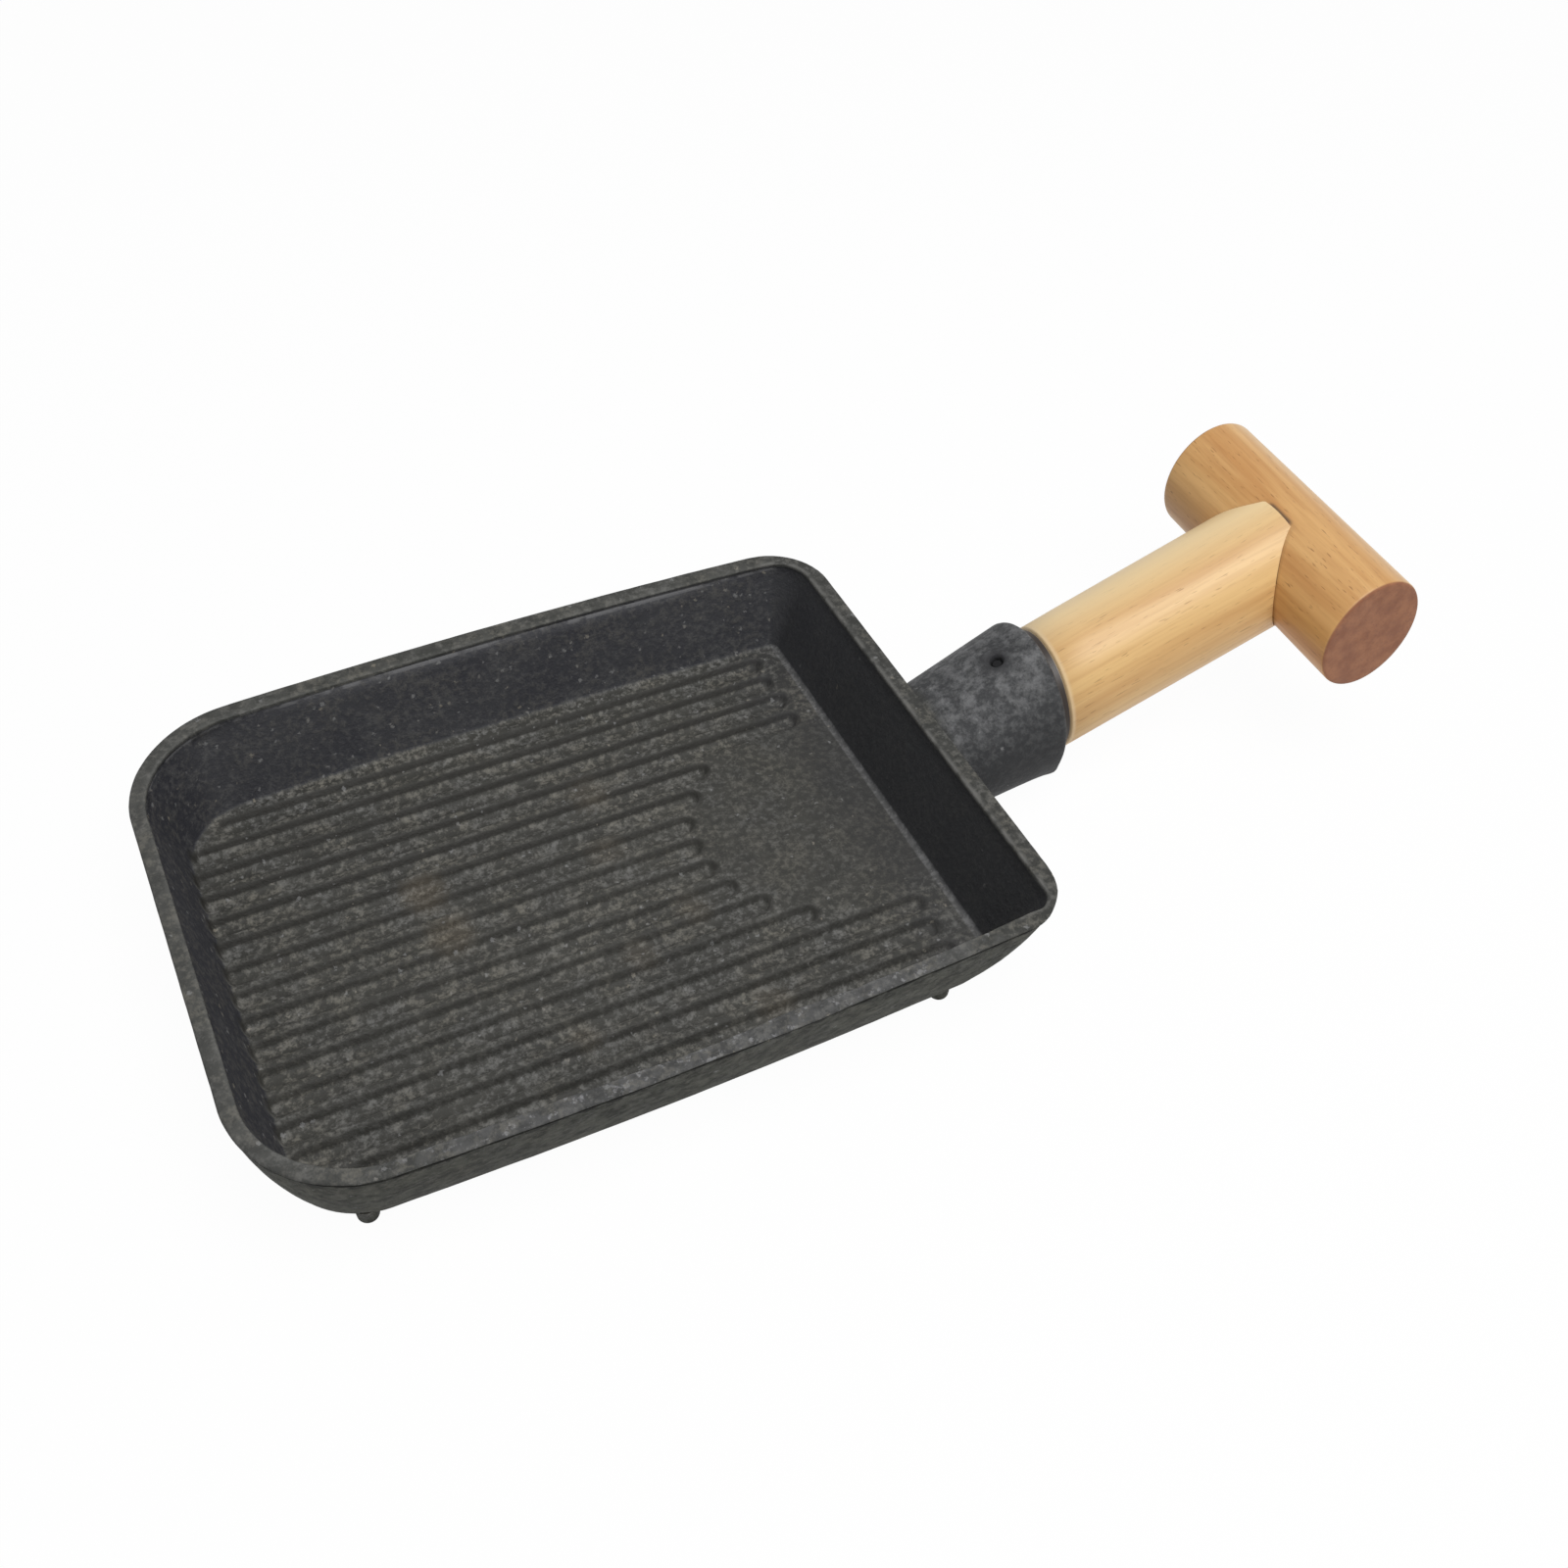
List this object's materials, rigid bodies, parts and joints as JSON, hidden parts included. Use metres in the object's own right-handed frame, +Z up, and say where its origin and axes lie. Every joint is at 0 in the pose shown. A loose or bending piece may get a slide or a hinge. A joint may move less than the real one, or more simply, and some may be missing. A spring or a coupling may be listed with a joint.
{
  "type": "rectangular cast iron grill pan with a wooden handle",
  "caption": "Shallow rectangular cast iron grill pan on low feet, with a ribbed floor, a smooth pad and a raised socket that holds a round wooden T-shaped handle.",
  "frame": {"origin": "on the plane of the feet, under the middle of the whole length and width", "axes": "+X from the pan along the handle, +Y across the pan, +Z up"},
  "size_m": [0.3239, 0.154, 0.0661],
  "materials": {
    "iron": "rough seasoned casting",
    "stem_wood": "satin lacquer",
    "crossbar_wood": "satin lacquer",
    "dowel_wood": "bare",
    "pin_steel": "dull"
  },
  "bodies": {
    "root": {"pan_casting": "iron", "handle_stem": "stem_wood", "handle_crossbar": "crossbar_wood", "crossbar_dowel": "dowel_wood", "handle_pin": "pin_steel"}
  },
  "joints": []
}
